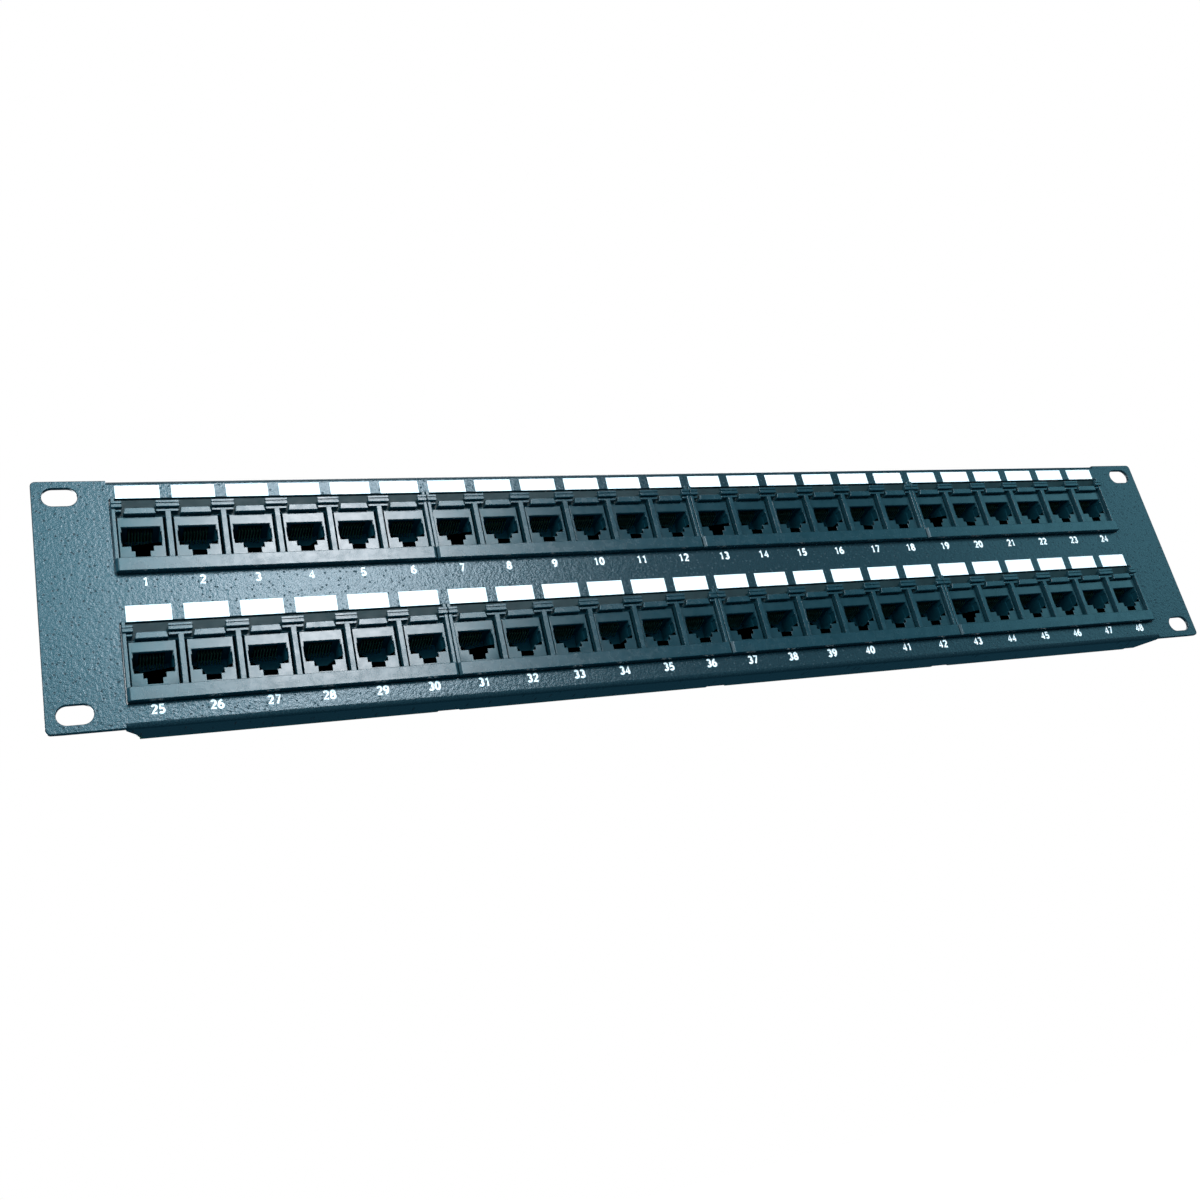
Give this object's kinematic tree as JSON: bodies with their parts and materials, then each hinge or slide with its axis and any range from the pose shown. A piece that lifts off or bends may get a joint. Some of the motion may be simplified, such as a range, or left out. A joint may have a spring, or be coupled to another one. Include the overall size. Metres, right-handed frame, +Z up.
{
  "type": "patch panel",
  "caption": "Rack-width network patch panel with two rows of modular sockets in moulded bezels, write-on labels, circuit boards and punch-down blocks at the rear.",
  "frame": {"origin": "centre of the four rack slots on the mounting face, which is the rear face of the front sheet", "axes": "+X along the panel towards port 24, +Y into the rack, +Z up. The ports face -Y."},
  "size_m": [0.4826, 0.0352, 0.0882],
  "materials": {
    "powder_coat": "fine-textured satin powder coat",
    "bezel_plastic": "satin moulded",
    "jack_plastic": "semi-gloss moulded",
    "gold_contact": "gold-plated",
    "board_green": "solder mask",
    "block_plastic": "satin moulded",
    "tinned_terminal": "tin-plated",
    "screw_steel": "zinc-plated",
    "label_white": "matt write-on film"
  },
  "bodies": {
    "root": {"front_panel": "powder_coat", "labels_top_row": "label_white", "labels_bottom_row": "label_white", "board_screws": "screw_steel", "bezel_01_06": "bezel_plastic", "bezel_07_12": "bezel_plastic", "bezel_13_18": "bezel_plastic", "bezel_19_24": "bezel_plastic", "bezel_25_30": "bezel_plastic", "bezel_31_36": "bezel_plastic", "bezel_37_42": "bezel_plastic", "bezel_43_48": "bezel_plastic", "jacks_01_06": "jack_plastic", "jacks_07_12": "jack_plastic", "jacks_13_18": "jack_plastic", "jacks_19_24": "jack_plastic", "jacks_25_30": "jack_plastic", "jacks_31_36": "jack_plastic", "jacks_37_42": "jack_plastic", "jacks_43_48": "jack_plastic", "jack_contacts_01_06": "gold_contact", "jack_contacts_07_12": "gold_contact", "jack_contacts_13_18": "gold_contact", "jack_contacts_19_24": "gold_contact", "jack_contacts_25_30": "gold_contact", "jack_contacts_31_36": "gold_contact", "jack_contacts_37_42": "gold_contact", "jack_contacts_43_48": "gold_contact", "circuit_board_01_06": "board_green", "circuit_board_07_12": "board_green", "circuit_board_13_18": "board_green", "circuit_board_19_24": "board_green", "circuit_board_25_30": "board_green", "circuit_board_31_36": "board_green", "circuit_board_37_42": "board_green", "circuit_board_43_48": "board_green", "idc_blocks_01_06": "block_plastic", "idc_blocks_07_12": "block_plastic", "idc_blocks_13_18": "block_plastic", "idc_blocks_19_24": "block_plastic", "idc_blocks_25_30": "block_plastic", "idc_blocks_31_36": "block_plastic", "idc_blocks_37_42": "block_plastic", "idc_blocks_43_48": "block_plastic", "idc_contacts_01_06": "tinned_terminal", "idc_contacts_07_12": "tinned_terminal", "idc_contacts_13_18": "tinned_terminal", "idc_contacts_19_24": "tinned_terminal", "idc_contacts_25_30": "tinned_terminal", "idc_contacts_31_36": "tinned_terminal", "idc_contacts_37_42": "tinned_terminal", "idc_contacts_43_48": "tinned_terminal"}
  },
  "joints": []
}
